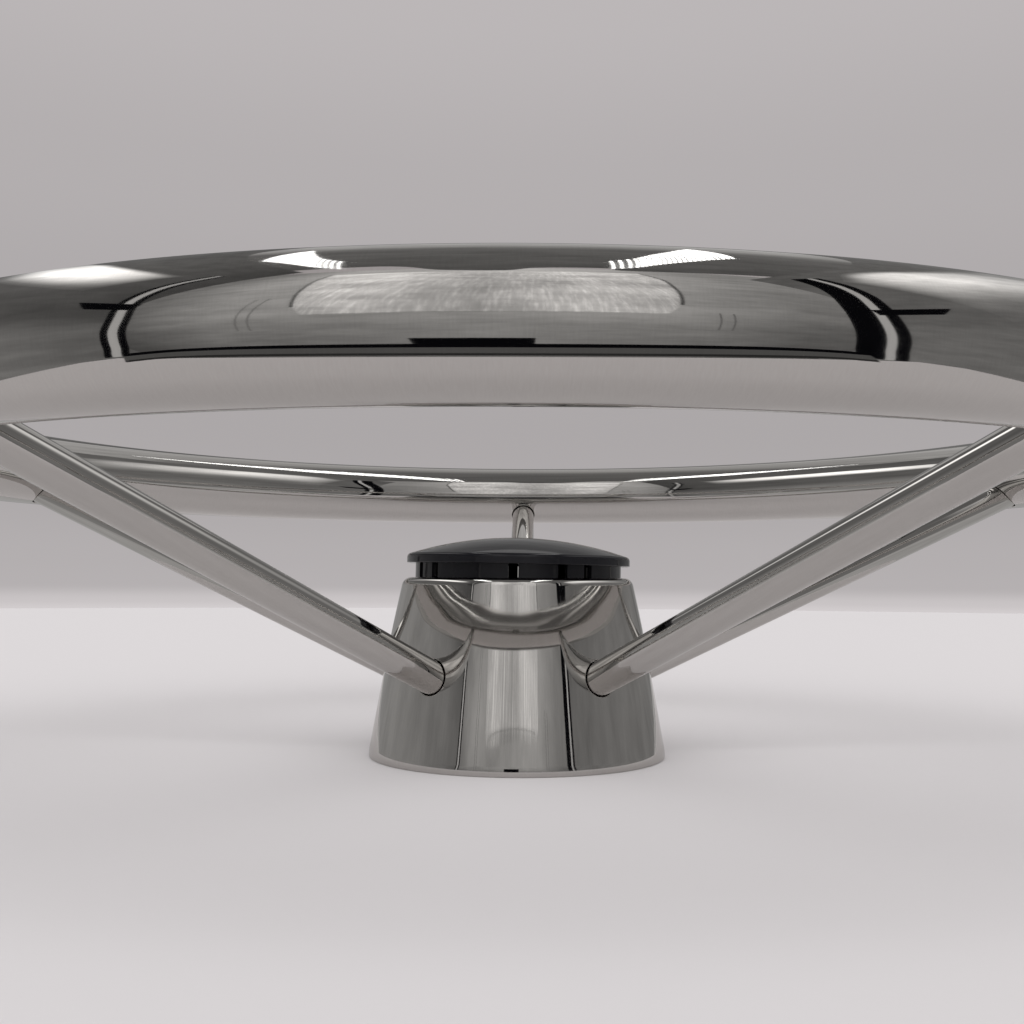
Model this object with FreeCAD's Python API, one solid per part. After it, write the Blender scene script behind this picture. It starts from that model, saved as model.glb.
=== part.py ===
import FreeCAD, Part
import math
import os

# A five-spoke stainless boat steering wheel that stands on its hub, in millimetres.
# The origin is the centre of the hub's base. +Z points up the shaft line, towards the helmsman.
# Radii are measured from the shaft line and heights from the base.

# Rim: one tube bent to a ring and welded shut.
rim_outer_diameter = 393.7
rim_tube_diameter = 25.0
rim_tube_wall = 1.5

# Spokes: plain round rods that rise from the hub to the rim.
spoke_count = 5
first_spoke_azimuth_deg = 90.0
spoke_diameter = 9.525
spoke_slope_deg = 22.744
spoke_height_at_hub = 25.68
spoke_gap_to_tube_wall = 1.0
spoke_end_past_tube_centre = 2.5
spoke_end_chamfer = 0.5
spoke_hole_clearance = 0.25
hole_edge_rounding = 0.25

# Hub cone: a turned shell with a short upright land at its base.
hub_base_diameter = 89.2
hub_height = 53.5
hub_taper_deg = 10.2
hub_upper_taper_deg = 11.9
hub_crown_height = 37.1
hub_crown_radius = 283.0
hub_base_land = 1.73
hub_land_rounding = 14.0
hub_wall = 2.5
hub_top_edge_rounding = 2.9
hub_base_edge_rounding = 0.4
web_shoulder_width = 2.0

# Hub web: the disc that carries the cone on the boss.
web_thickness = 3.0
web_height_over_spokes = 1.2
web_fit_clearance = 0.05

# Hub boss: the turned core that takes the helm shaft.
boss_diameter = 36.0
boss_recess = 1.5
boss_spigot_diameter = 30.0
boss_edge_chamfer = 0.8
socket_depth = 3.5
socket_clearance = 0.1
shaft_taper_large_diameter = 19.05
shaft_taper_per_length = 1.0 / 12.0
keyway_width = 4.763
keyway_depth = 2.4

# Nut and split washer that hold the wheel on the shaft.
nut_across_flats = 23.8
nut_height = 13.9
nut_bore_diameter = 14.7
nut_bore_chamfer = 0.8
nut_corner_bevel_deg = 30.0
washer_inner_diameter = 16.3
washer_outer_diameter = 26.8
washer_thickness = 4.0
washer_split = 1.2
washer_split_lean_deg = 25.0

# Centre cap: a moulded dome over a collar of spring fingers.
cap_brim_diameter = 68.0
cap_dome_radius = 105.0
cap_shell = 2.4
cap_brim_height = 2.7
cap_brim_rounding = 1.4
cap_underside_rounding = 0.35
cap_collar_diameter = 62.7
cap_collar_wall = 1.8
cap_collar_length = 12.35
cap_collar_clearance = 0.45
cap_recess_depth = 9.0
cap_ledge_width = 2.4
cap_ledge_thickness = 2.5
cap_tilt_deg = 0.9

# Snap fingers of the cap, each between two slots, with a relief slot between fingers.
finger_count = 4
first_finger_azimuth_deg = 212.4
finger_half_angle_deg = 7.9
relief_slot_offset_deg = 55.85
collar_slot_width = 2.9
barb_height = 1.5
barb_depth = 0.5
barb_start = 1.0
barb_groove_depth = 0.7
barb_groove_play = 0.5

# Sizes worked out from the ones above.
rim_centre_radius = (rim_outer_diameter - rim_tube_diameter) / 2
rim_tube_radius = rim_tube_diameter / 2
rim_bore_radius = rim_tube_radius - rim_tube_wall
spoke_radius = spoke_diameter / 2
spoke_slope = math.radians(spoke_slope_deg)
spoke_hole_radius = spoke_radius + spoke_hole_clearance
spoke_azimuths = [first_spoke_azimuth_deg + 360.0 * k / spoke_count for k in range(spoke_count)]
hub_base_radius = hub_base_diameter / 2
hub_taper = math.tan(math.radians(hub_taper_deg))
hub_upper_taper = math.tan(math.radians(hub_upper_taper_deg))
boss_radius = boss_diameter / 2
cap_collar_radius = cap_collar_diameter / 2
cap_brim_radius = cap_brim_diameter / 2


def hub_radius_at(height):
    """Outer radius of the hub cone at a height from its base land up to its crown."""
    return hub_base_radius - (height - hub_base_land) * hub_taper


def spoke_axis_at(radius):
    """The point of a spoke's axis at a radius, for a spoke that lies over +X."""
    run = radius - hub_radius_at(spoke_height_at_hub)
    return FreeCAD.Vector(radius, 0, spoke_height_at_hub + run * math.tan(spoke_slope))


spoke_direction = FreeCAD.Vector(math.cos(spoke_slope), 0, math.sin(spoke_slope))
spoke_upward = FreeCAD.Vector(-math.sin(spoke_slope), 0, math.cos(spoke_slope))

# The spokes enter the tube below its centre, just clear of the inside of its wall.
tube_centre_above_spoke = rim_bore_radius - spoke_radius - spoke_gap_to_tube_wall
rim_centre_height = spoke_axis_at(rim_centre_radius).z + tube_centre_above_spoke / math.cos(spoke_slope)
tube_centre = FreeCAD.Vector(rim_centre_radius, 0, rim_centre_height)
spoke_start = spoke_axis_at(boss_radius) - spoke_direction * socket_depth
spoke_centre_in_tube = tube_centre - spoke_upward * tube_centre_above_spoke
spoke_end = spoke_centre_in_tube + spoke_direction * spoke_end_past_tube_centre
spoke_length = (spoke_end - spoke_start).Length

# The web lies just over the spokes, and the nut and washer stack up from its top.
web_underside = spoke_height_at_hub + spoke_radius / math.cos(spoke_slope) + web_height_over_spokes
web_top = web_underside + web_thickness
web_seat_radius = hub_radius_at(web_top) - hub_wall
washer_top = web_top + washer_thickness

# The cap's collar stands on a ledge inside the mouth of the cone.
cap_bore_radius = cap_collar_radius + cap_collar_clearance
cap_seat_height = hub_height - cap_recess_depth
cap_tilt_rise = cap_collar_diameter * math.sin(math.radians(cap_tilt_deg))
groove_bottom = cap_seat_height + barb_start - barb_groove_play
groove_top = cap_seat_height + barb_start + barb_height + cap_tilt_rise + barb_groove_play


def rounded_corner(before, here, after, rounding):
    """Start, middle and end of the arc that rounds a corner of an outline."""
    if rounding == 0:
        return here, here, here
    back = (before - here).normalize()
    onward = (after - here).normalize()
    half_angle = back.getAngle(onward) / 2
    cut = rounding / math.tan(half_angle)
    middle = here + (back + onward).normalize() * (rounding / math.sin(half_angle) - rounding)
    return here + back * cut, middle, here + onward * cut


def turned(corners):
    """A solid turned about the shaft line from (radius, height, rounding) corners."""
    points = [FreeCAD.Vector(radius, 0, height) for radius, height, rounding in corners]
    arcs = []
    for k, (radius, height, rounding) in enumerate(corners):
        arcs.append(rounded_corner(points[k - 1], points[k], points[(k + 1) % len(points)], rounding))
    edges = []
    for k, (start, middle, end) in enumerate(arcs):
        if corners[k][2] > 0:
            edges.append(Part.Arc(start, middle, end).toShape())
        edges.append(Part.makeLine(end, arcs[(k + 1) % len(arcs)][0]))
    face = Part.Face(Part.Wire(edges))
    return face.revolve(FreeCAD.Vector(0, 0, 0), FreeCAD.Vector(0, 0, 1), 360)


def turned_to(shape, azimuth_deg):
    """A copy of a shape, turned about the shaft line."""
    copy = shape.copy()
    copy.rotate(FreeCAD.Vector(0, 0, 0), FreeCAD.Vector(0, 0, 1), azimuth_deg)
    return copy


def spoke_holes(start_radius, end_radius):
    """A drill for each spoke's clearance hole, along its axis between two radii."""
    start = spoke_axis_at(start_radius)
    length = (spoke_axis_at(end_radius) - start).Length
    drill = Part.makeCylinder(spoke_hole_radius, length, start, spoke_direction)
    return [turned_to(drill, azimuth) for azimuth in spoke_azimuths]


def with_rounded_mouths(shape, is_outside):
    """Rounds the edges of the spoke holes where they come out through the outside surface."""
    mouths = []
    for face in shape.Faces:
        surface = face.Surface
        if isinstance(surface, Part.Cylinder) and abs(surface.Radius - spoke_hole_radius) < 0.001:
            for edge in face.Edges:
                if is_outside(edge.valueAt((edge.FirstParameter + edge.LastParameter) / 2)):
                    mouths.append(edge)
    return shape.makeFillet(hole_edge_rounding, mouths)


def make_rim():
    """The hollow ring, with a hole for each spoke low on its inner side."""
    centre = FreeCAD.Vector(0, 0, rim_centre_height)
    ring = Part.makeTorus(rim_centre_radius, rim_tube_radius, centre)
    ring = ring.cut(Part.makeTorus(rim_centre_radius, rim_bore_radius, centre))
    for drill in spoke_holes(rim_centre_radius - rim_tube_diameter, rim_centre_radius):
        ring = ring.cut(drill)

    def is_outside(point):
        from_centre_line = math.hypot(point.x, point.y) - rim_centre_radius
        return math.hypot(from_centre_line, point.z - rim_centre_height) > rim_tube_radius - 0.001

    return with_rounded_mouths(ring, is_outside)


def make_spoke(azimuth_deg):
    """A rod whose inner end stands in its socket and whose outer end is inside the tube."""
    rod = Part.makeCylinder(spoke_radius, spoke_length, spoke_start, spoke_direction)
    ends = [edge for edge in rod.Edges if edge.Closed]
    rod = rod.makeChamfer(spoke_end_chamfer, ends)
    return turned_to(rod, azimuth_deg)


def make_hub_cone():
    """The polished shell: a land and a crowned cone outside, and seats for the web and the cap inside."""
    groove_radius = cap_bore_radius + barb_groove_depth
    ledge_radius = cap_bore_radius - cap_ledge_width
    ledge_underside = cap_seat_height - cap_ledge_thickness
    neck_radius = web_seat_radius - web_shoulder_width
    shell_radius_at_web = hub_radius_at(web_underside) - hub_wall
    shell_radius_at_base = hub_base_radius - hub_wall
    crown_radius = hub_radius_at(hub_crown_height)
    top_radius = crown_radius - (hub_height - hub_crown_height) * hub_upper_taper
    cone = turned([
        (hub_base_radius, 0, hub_base_edge_rounding),
        (hub_base_radius, hub_base_land, hub_land_rounding),
        (crown_radius, hub_crown_height, hub_crown_radius),
        (top_radius, hub_height, hub_top_edge_rounding),
        (cap_bore_radius, hub_height, hub_base_edge_rounding),
        (cap_bore_radius, groove_top, 0),
        (groove_radius, groove_top, 0),
        (groove_radius, groove_bottom, 0),
        (cap_bore_radius, groove_bottom, 0),
        (cap_bore_radius, cap_seat_height, 0),
        (ledge_radius, cap_seat_height, 0),
        (ledge_radius, ledge_underside, 0),
        (neck_radius, ledge_underside, 0),
        (neck_radius, web_top, 0),
        (web_seat_radius, web_top, 0),
        (web_seat_radius, web_underside, 0),
        (shell_radius_at_web, web_underside, 0),
        (shell_radius_at_base, hub_base_land, 0),
        (shell_radius_at_base, 0, hub_base_edge_rounding),
    ])
    for drill in spoke_holes(boss_radius, hub_base_radius + spoke_diameter):
        cone = cone.cut(drill)

    def is_outside(point):
        return math.hypot(point.x, point.y) > hub_radius_at(point.z) - 0.001

    return with_rounded_mouths(cone, is_outside)


def make_hub_web():
    """The disc between the boss and the cone, over the spokes."""
    outer_radius = web_seat_radius - web_fit_clearance
    inner_radius = boss_spigot_diameter / 2 + web_fit_clearance
    return turned([
        (inner_radius, web_underside, 0),
        (outer_radius, web_underside, 0),
        (outer_radius, web_top, 0),
        (inner_radius, web_top, 0),
    ])


def make_hub_boss():
    """The core, with its tapered bore, its keyway and a flat-bottomed socket for each spoke."""
    spigot_radius = boss_spigot_diameter / 2
    large_radius = shaft_taper_large_diameter / 2
    small_radius = large_radius - (web_top - boss_recess) * shaft_taper_per_length / 2
    boss = turned([
        (large_radius, boss_recess, 0),
        (boss_radius - boss_edge_chamfer, boss_recess, 0),
        (boss_radius, boss_recess + boss_edge_chamfer, 0),
        (boss_radius, web_underside, 0),
        (spigot_radius, web_underside, 0),
        (spigot_radius, web_top, 0),
        (small_radius, web_top, 0),
    ])
    drill = Part.makeCylinder(spoke_radius + socket_clearance, spoke_length, spoke_start, spoke_direction)
    for azimuth in spoke_azimuths:
        boss = boss.cut(turned_to(drill, azimuth))
    keyway_corner = FreeCAD.Vector(0, -keyway_width / 2, boss_recess)
    keyway = Part.makeBox(large_radius + keyway_depth, keyway_width, web_top - boss_recess, keyway_corner)
    lean = math.degrees(math.atan(shaft_taper_per_length / 2))
    keyway_hinge = FreeCAD.Vector(large_radius + keyway_depth, 0, boss_recess)
    keyway.rotate(keyway_hinge, FreeCAD.Vector(0, 1, 0), -lean)
    return boss.cut(turned_to(keyway, first_spoke_azimuth_deg + 180.0 / spoke_count))


def make_lock_washer():
    """A spring washer, split by one leaning cut."""
    washer = turned([
        (washer_inner_diameter / 2, web_top, 0),
        (washer_outer_diameter / 2, web_top, 0),
        (washer_outer_diameter / 2, washer_top, 0),
        (washer_inner_diameter / 2, washer_top, 0),
    ])
    middle_height = web_top + washer_thickness / 2
    corner = FreeCAD.Vector(0, -washer_split / 2, middle_height - washer_thickness)
    split = Part.makeBox(washer_outer_diameter, washer_split, 2 * washer_thickness, corner)
    split.rotate(FreeCAD.Vector(0, 0, middle_height), FreeCAD.Vector(1, 0, 0), washer_split_lean_deg)
    return washer.cut(split)


def make_shaft_nut():
    """A hexagon nut with bevelled corners and a countersunk bore at both ends."""
    corner_radius = nut_across_flats / 2 / math.cos(math.radians(30))
    corners = []
    for k in range(7):
        angle = math.radians(60 * k)
        x = corner_radius * math.cos(angle)
        y = corner_radius * math.sin(angle)
        corners.append(FreeCAD.Vector(x, y, washer_top))
    prism = Part.Face(Part.makePolygon(corners)).extrude(FreeCAD.Vector(0, 0, nut_height))
    bevel_drop = (corner_radius - nut_across_flats / 2) * math.tan(math.radians(nut_corner_bevel_deg))
    bore_radius = nut_bore_diameter / 2
    nut_top = washer_top + nut_height
    bevelled = turned([
        (bore_radius + nut_bore_chamfer, washer_top, 0),
        (nut_across_flats / 2, washer_top, 0),
        (corner_radius, washer_top + bevel_drop, 0),
        (corner_radius, nut_top - bevel_drop, 0),
        (nut_across_flats / 2, nut_top, 0),
        (bore_radius + nut_bore_chamfer, nut_top, 0),
        (bore_radius, nut_top - nut_bore_chamfer, 0),
        (bore_radius, washer_top + nut_bore_chamfer, 0),
    ])
    return prism.common(bevelled)


def dome_arc(sphere_radius, apex, reach):
    """The arc of a dome's section, from its apex out to a radius."""
    points = []
    for radius in (0, reach / 2, reach):
        fall = sphere_radius - math.sqrt(sphere_radius ** 2 - radius ** 2)
        points.append(FreeCAD.Vector(radius, 0, apex - fall))
    return Part.Arc(*points).toShape()


def make_cap_shell():
    """The dome, its brim and its plain collar, straight on the shaft line."""
    brim_underside = cap_seat_height + cap_collar_length
    brim_top = brim_underside + cap_brim_height
    apex = brim_top + cap_dome_radius - math.sqrt(cap_dome_radius ** 2 - cap_brim_radius ** 2)
    collar_bore = cap_collar_radius - cap_collar_wall
    outside = dome_arc(cap_dome_radius, apex, cap_brim_radius)
    inside = dome_arc(cap_dome_radius - cap_shell, apex - cap_shell, collar_bore)
    walls = Part.makePolygon([
        outside.Vertexes[-1].Point,
        FreeCAD.Vector(cap_brim_radius, 0, brim_underside),
        FreeCAD.Vector(cap_collar_radius, 0, brim_underside),
        FreeCAD.Vector(cap_collar_radius, 0, cap_seat_height),
        FreeCAD.Vector(collar_bore, 0, cap_seat_height),
        inside.Vertexes[-1].Point,
    ])
    centre_line = Part.makeLine(inside.Vertexes[0].Point, outside.Vertexes[0].Point)
    outline = Part.Wire([outside] + walls.Edges + [inside, centre_line])
    shell = Part.Face(outline).revolve(FreeCAD.Vector(0, 0, 0), FreeCAD.Vector(0, 0, 1), 360)

    def brim_edges(height):
        found = []
        for edge in shell.Edges:
            point = edge.valueAt(edge.FirstParameter)
            on_brim = abs(math.hypot(point.x, point.y) - cap_brim_radius) < 0.001
            if edge.Closed and on_brim and abs(point.z - height) < 0.001:
                found.append(edge)
        return found

    shell = shell.makeFillet(cap_brim_rounding, brim_edges(brim_top))
    return shell.makeFillet(cap_underside_rounding, brim_edges(brim_underside))


def make_collar_slot(azimuth_deg):
    """A slot through the collar, from its foot up to the brim."""
    depth = cap_collar_wall + barb_depth + 2 * cap_collar_clearance
    corner = FreeCAD.Vector(
        cap_collar_radius - cap_collar_wall - cap_collar_clearance,
        -collar_slot_width / 2,
        cap_seat_height,
    )
    slot = Part.makeBox(depth, collar_slot_width, cap_collar_length, corner)
    return turned_to(slot, azimuth_deg)


def make_barb(azimuth_deg):
    """The wedge on the outside of a snap finger, thickest at its top."""
    bottom = cap_seat_height + barb_start
    corners = [
        (cap_collar_radius - cap_collar_wall / 2, bottom),
        (cap_collar_radius, bottom),
        (cap_collar_radius + barb_depth, bottom + barb_height / 2),
        (cap_collar_radius + barb_depth, bottom + barb_height),
        (cap_collar_radius - cap_collar_wall / 2, bottom + barb_height),
    ]
    points = [FreeCAD.Vector(radius, 0, height) for radius, height in corners]
    face = Part.Face(Part.makePolygon(points + points[:1]))
    barb = face.revolve(FreeCAD.Vector(0, 0, 0), FreeCAD.Vector(0, 0, 1), 2 * finger_half_angle_deg)
    return turned_to(barb, azimuth_deg - finger_half_angle_deg)


def make_centre_cap():
    """The cap with its snap fingers, tipped a little because it is pushed in by hand."""
    cap = make_cap_shell()
    for k in range(finger_count):
        finger_azimuth = first_finger_azimuth_deg + 360.0 * k / finger_count
        cap = cap.fuse(make_barb(finger_azimuth))
    for k in range(finger_count):
        finger_azimuth = first_finger_azimuth_deg + 360.0 * k / finger_count
        for offset in (-finger_half_angle_deg, finger_half_angle_deg, relief_slot_offset_deg):
            cap = cap.cut(make_collar_slot(finger_azimuth + offset))
    hinge = FreeCAD.Vector(cap_collar_radius, 0, cap_seat_height)
    cap.rotate(hinge, FreeCAD.Vector(0, 1, 0), cap_tilt_deg)
    return cap


def save(name, shape):
    """Writes one piece under its own name."""
    shape.exportStep("parts/" + name + ".step")


os.makedirs("parts", exist_ok=True)
save("rim", make_rim())
for number, azimuth in enumerate(spoke_azimuths, start=1):
    save("spoke_" + str(number), make_spoke(azimuth))
save("hub_cone", make_hub_cone())
save("hub_web", make_hub_web())
save("hub_boss", make_hub_boss())
save("lock_washer", make_lock_washer())
save("shaft_nut", make_shaft_nut())
save("centre_cap", make_centre_cap())
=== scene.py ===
import math

import bpy
import numpy as np
from mathutils import Matrix, Vector


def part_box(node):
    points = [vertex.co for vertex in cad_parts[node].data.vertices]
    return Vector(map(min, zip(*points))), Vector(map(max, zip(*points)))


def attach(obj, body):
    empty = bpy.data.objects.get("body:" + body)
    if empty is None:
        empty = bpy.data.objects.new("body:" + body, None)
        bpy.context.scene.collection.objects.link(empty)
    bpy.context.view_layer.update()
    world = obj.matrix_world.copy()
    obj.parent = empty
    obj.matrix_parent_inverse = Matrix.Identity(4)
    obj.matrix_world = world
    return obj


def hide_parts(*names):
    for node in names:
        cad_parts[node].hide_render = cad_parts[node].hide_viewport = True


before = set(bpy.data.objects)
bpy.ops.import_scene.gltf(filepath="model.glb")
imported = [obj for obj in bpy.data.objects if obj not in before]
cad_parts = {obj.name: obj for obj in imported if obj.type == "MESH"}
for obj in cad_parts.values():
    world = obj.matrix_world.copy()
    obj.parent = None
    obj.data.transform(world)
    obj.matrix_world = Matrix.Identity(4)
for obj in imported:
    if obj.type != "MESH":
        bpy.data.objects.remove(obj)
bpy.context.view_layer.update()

# A stainless boat steering wheel that stands on its hub, in metres.
# +Z is the shaft line, the origin is the centre of the hub's base, and spoke 1 lies over +Y.
MM = 0.001

# Camera: where the photograph was taken from.
camera_place = Vector((5.03, -367.38, 52.28)) * MM
camera_yaw_deg = -1.07
camera_pitch_deg = 3.33
camera_roll_deg = 0.30
image_width = 1024
focal_pixels = 1198.0
sensor_width = 36.0
nearest_seen = 10 * MM
farthest_seen = 20.0

# Rim tube.
rim_outer_radius = 196.85 * MM
tube_radius = 12.5 * MM
tube_wall = 1.5 * MM

# Spokes and the holes that they pass.
spoke_count = 5
first_spoke_azimuth = math.radians(90)
spoke_radius = 4.7625 * MM
spoke_slope = math.radians(22.744)
spoke_height_at_hub = 25.68 * MM
spoke_gap_to_tube_wall = 1.0 * MM
spoke_end_past_tube_centre = 2.5 * MM
spoke_end_chamfer = 0.5 * MM
spoke_hole_clearance = 0.25 * MM
hole_edge_rounding = 0.25 * MM
socket_depth = 3.5 * MM

# Hub cone.
hub_base_radius = 44.6 * MM
hub_height = 53.5 * MM
hub_taper = math.tan(math.radians(10.2))
hub_upper_taper = math.tan(math.radians(11.9))
hub_crown_height = 37.1 * MM
hub_crown_radius = 283.0 * MM
hub_base_land = 1.73 * MM
hub_land_rounding = 14.0 * MM
hub_wall = 2.5 * MM
hub_top_edge_rounding = 2.9 * MM
hub_base_edge_rounding = 0.4 * MM
web_shoulder_width = 2.0 * MM
boss_radius = 18.0 * MM

# Centre cap.
cap_brim_radius = 34.0 * MM
cap_dome_radius = 105.0 * MM
cap_shell = 2.4 * MM
cap_brim_height = 2.7 * MM
cap_brim_rounding = 1.4 * MM
cap_underside_rounding = 0.35 * MM
cap_collar_radius = 31.35 * MM
cap_collar_wall = 1.8 * MM
cap_collar_length = 12.35 * MM
cap_collar_clearance = 0.45 * MM
cap_recess_depth = 9.0 * MM
cap_ledge_width = 2.4 * MM
cap_ledge_thickness = 2.5 * MM
cap_tilt = math.radians(0.9)
finger_count = 4
first_finger_azimuth = math.radians(212.4)
finger_half_angle = math.radians(7.9)
relief_slot_offset = math.radians(55.85)
collar_slot_width = 2.9 * MM
barb_height = 1.5 * MM
barb_depth = 0.5 * MM
barb_start = 1.0 * MM
barb_groove_depth = 0.7 * MM
barb_groove_play = 0.5 * MM

# Fineness of the meshes.
corner_steps = 8
hole_ring_steps = 8
hole_rounding_steps = 4
hub_columns_per_sector = 72
hub_hole_rows = 24
rod_sides = 96
path_steps = 8
row_steps = 6

# Surroundings that the polished metal shows, in millimetres.
room_height = 1010
room_front = -640
room_back = 1500
left_wall = -400
right_wall = 490
board_half_width = 203
board_front_corner = -176
floor_reach = 2000
left_wall_level = 0.15
right_wall_level = 0.18
cloth_tint = (1, 0.985, 0.975)
backdrop_tint = (1, 0.945, 0.955)

# Rays that miss a piece of the surroundings: the backdrop, what only the metal shows, and the floor.
no_light_or_shadow = ("visible_diffuse", "visible_shadow", "visible_volume_scatter")
seen_in_metal_only = ("visible_camera", "visible_transmission") + no_light_or_shadow
unseen_in_metal = ("visible_glossy", "visible_volume_scatter")

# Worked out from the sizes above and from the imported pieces.
rim_centre_radius = rim_outer_radius - tube_radius
tube_bore = tube_radius - tube_wall
web_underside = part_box("hub_web")[0].z
web_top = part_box("hub_web")[1].z
sector = 2 * math.pi / spoke_count
cap_bore_radius = cap_collar_radius + cap_collar_clearance
cap_seat_height = hub_height - cap_recess_depth
groove_bottom = cap_seat_height + barb_start - barb_groove_play
cap_tilt_rise = 2 * cap_collar_radius * math.sin(cap_tilt)
groove_top = cap_seat_height + barb_start + barb_height + cap_tilt_rise + barb_groove_play


def hub_radius_at(height):
    """Outer radius of the hub cone at a height from its base land up to its crown."""
    return hub_base_radius - (height - hub_base_land) * hub_taper


def spoke_axis_at(radius):
    """The point of a spoke's axis at a radius, for a spoke that lies over +X."""
    run = radius - hub_radius_at(spoke_height_at_hub)
    return np.array([radius, 0, spoke_height_at_hub + run * math.tan(spoke_slope)])


spoke_direction = np.array([math.cos(spoke_slope), 0, math.sin(spoke_slope)])
spoke_upward = np.array([-math.sin(spoke_slope), 0, math.cos(spoke_slope)])
sideways = np.array([0, 1.0, 0])
tube_centre_above_spoke = tube_bore - spoke_radius - spoke_gap_to_tube_wall
rim_centre_height = spoke_axis_at(rim_centre_radius)[2] + tube_centre_above_spoke / math.cos(spoke_slope)
tube_centre = np.array([rim_centre_radius, 0, rim_centre_height])
spoke_start = spoke_axis_at(boss_radius) - spoke_direction * socket_depth
spoke_end = (
    tube_centre
    - spoke_upward * tube_centre_above_spoke
    + spoke_direction * spoke_end_past_tube_centre
)


def turned_to(points, azimuth):
    """Points or directions, turned about the shaft line."""
    c, s = math.cos(azimuth), math.sin(azimuth)
    turn = np.array([[c, s, 0], [-s, c, 0], [0, 0, 1]])
    return points @ turn


def swept(radius, height, azimuth):
    """Points at a radius, a height and an azimuth, or directions that lean outward and upward so much."""
    c, s = np.cos(azimuth), np.sin(azimuth)
    return np.stack([radius * c, radius * s, height + 0 * c], axis=-1)


def swung(share, turn, start, end):
    """Directions at shares of the way between two others that lie a turn apart."""
    return (np.sin((1 - share) * turn) * start + np.sin(share * turn) * end) / np.sin(turn)


def square_to(start, end):
    """The direction to the right of a line from start to end in a section."""
    across, up = end[0] - start[0], end[1] - start[1]
    return np.array([up, -across]) / math.hypot(across, up)


class Shape:
    """Sheets of points with their exact normals, joined into the mesh of one piece."""

    def __init__(self):
        self.points = []
        self.normals = []
        self.faces = []
        self.count = 0

    def add_face(self, points, normal):
        """One flat face, turned so that it faces along its normal."""
        corners = list(range(len(points)))
        a, b, c = (points[k] for k in (0, len(points) // 3, 2 * len(points) // 3))
        if np.cross(b - a, c - a) @ normal < 0:
            corners.reverse()
        self.faces.append([self.count + k for k in corners])
        self.points.append(points)
        self.normals.append(np.tile(normal, (len(points), 1)))
        self.count += len(points)

    def add_sheet(self, points, normals, keep=None):
        """A grid of points, joined by quads. keep says which of the quads stay."""
        rows, columns = points.shape[:2]
        index = np.arange(rows * columns).reshape(rows, columns)
        quads = np.stack([index[:-1, :-1], index[:-1, 1:], index[1:, 1:], index[1:, :-1]], axis=-1)
        quads = quads[keep] if keep is not None else quads.reshape(-1, 4)
        flat_points = points.reshape(-1, 3)
        flat_normals = normals.reshape(-1, 3)
        across = flat_points[quads[:, 2]] - flat_points[quads[:, 0]]
        other = flat_points[quads[:, 3]] - flat_points[quads[:, 1]]
        facing = np.cross(across, other)
        wrong = (facing * flat_normals[quads].sum(axis=1)).sum(axis=1) < 0
        quads[wrong] = quads[wrong][:, ::-1]
        self.faces.extend((quads + self.count).tolist())
        self.points.append(flat_points)
        self.normals.append(flat_normals)
        self.count += len(flat_points)

    def tip(self, hinge, angle):
        """Turns everything added so far about a line along +Y through the hinge."""
        c, s = math.cos(angle), math.sin(angle)
        turn = np.array([[c, 0, -s], [0, 1, 0], [s, 0, c]])
        self.points = [hinge + (points - hinge) @ turn for points in self.points]
        self.normals = [normals @ turn for normals in self.normals]

    def mesh(self, name):
        """One mesh: points that coincide are joined, and each corner keeps its own normal."""
        join_distance = 0.0001 * MM
        points = np.concatenate(self.points)
        normals = np.concatenate(self.normals)
        keys = np.round(points / join_distance).astype(np.int64)
        _, first, joined = np.unique(keys, axis=0, return_index=True, return_inverse=True)
        joined = joined.ravel()
        faces = []
        corners = []
        for face in self.faces:
            kept = [k for k, after in zip(face, face[1:] + face[:1]) if joined[k] != joined[after]]
            if len(kept) > 2:
                faces.append([int(joined[k]) for k in kept])
                corners.extend(kept)
        mesh = bpy.data.meshes.new(name)
        mesh.from_pydata(points[first].tolist(), [], faces)
        mesh.shade_smooth()
        mesh.normals_split_custom_set(normals[corners].tolist())
        return mesh


def rounded(corners):
    """The parts of a closed outline: (points, normals) of each straight and of each rounded corner.

    Corners are (radius, height, rounding), anticlockwise with the radius to the right."""
    places = [np.array(corner[:2]) for corner in corners]
    parts = []
    arcs = []
    for k, here in enumerate(places):
        back = places[k - 1] - here
        onward = places[(k + 1) % len(places)] - here
        back = back / np.linalg.norm(back)
        onward = onward / np.linalg.norm(onward)
        rounding = corners[k][2]
        if rounding == 0:
            arcs.append((here, here))
            continue
        half_angle = math.acos(back @ onward) / 2
        cut = rounding / math.tan(half_angle)
        start, end = here + back * cut, here + onward * cut
        arcs.append((start, end))
        centre_way = (back + onward) / np.linalg.norm(back + onward)
        centre = here + centre_way * rounding / math.sin(half_angle)
        from_normal = (start - centre) / rounding
        to_normal = (end - centre) / rounding
        turn = math.acos(from_normal @ to_normal)
        share = np.linspace(0, 1, corner_steps + 1)[:, None]
        normals = swung(share, turn, from_normal, to_normal)
        parts.append((centre + rounding * normals, normals))
    for k in range(len(places)):
        start = arcs[k][1]
        end = arcs[(k + 1) % len(places)][0]
        parts.append((np.array([start, end]), np.array([square_to(start, end)] * 2)))
    return parts


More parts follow.
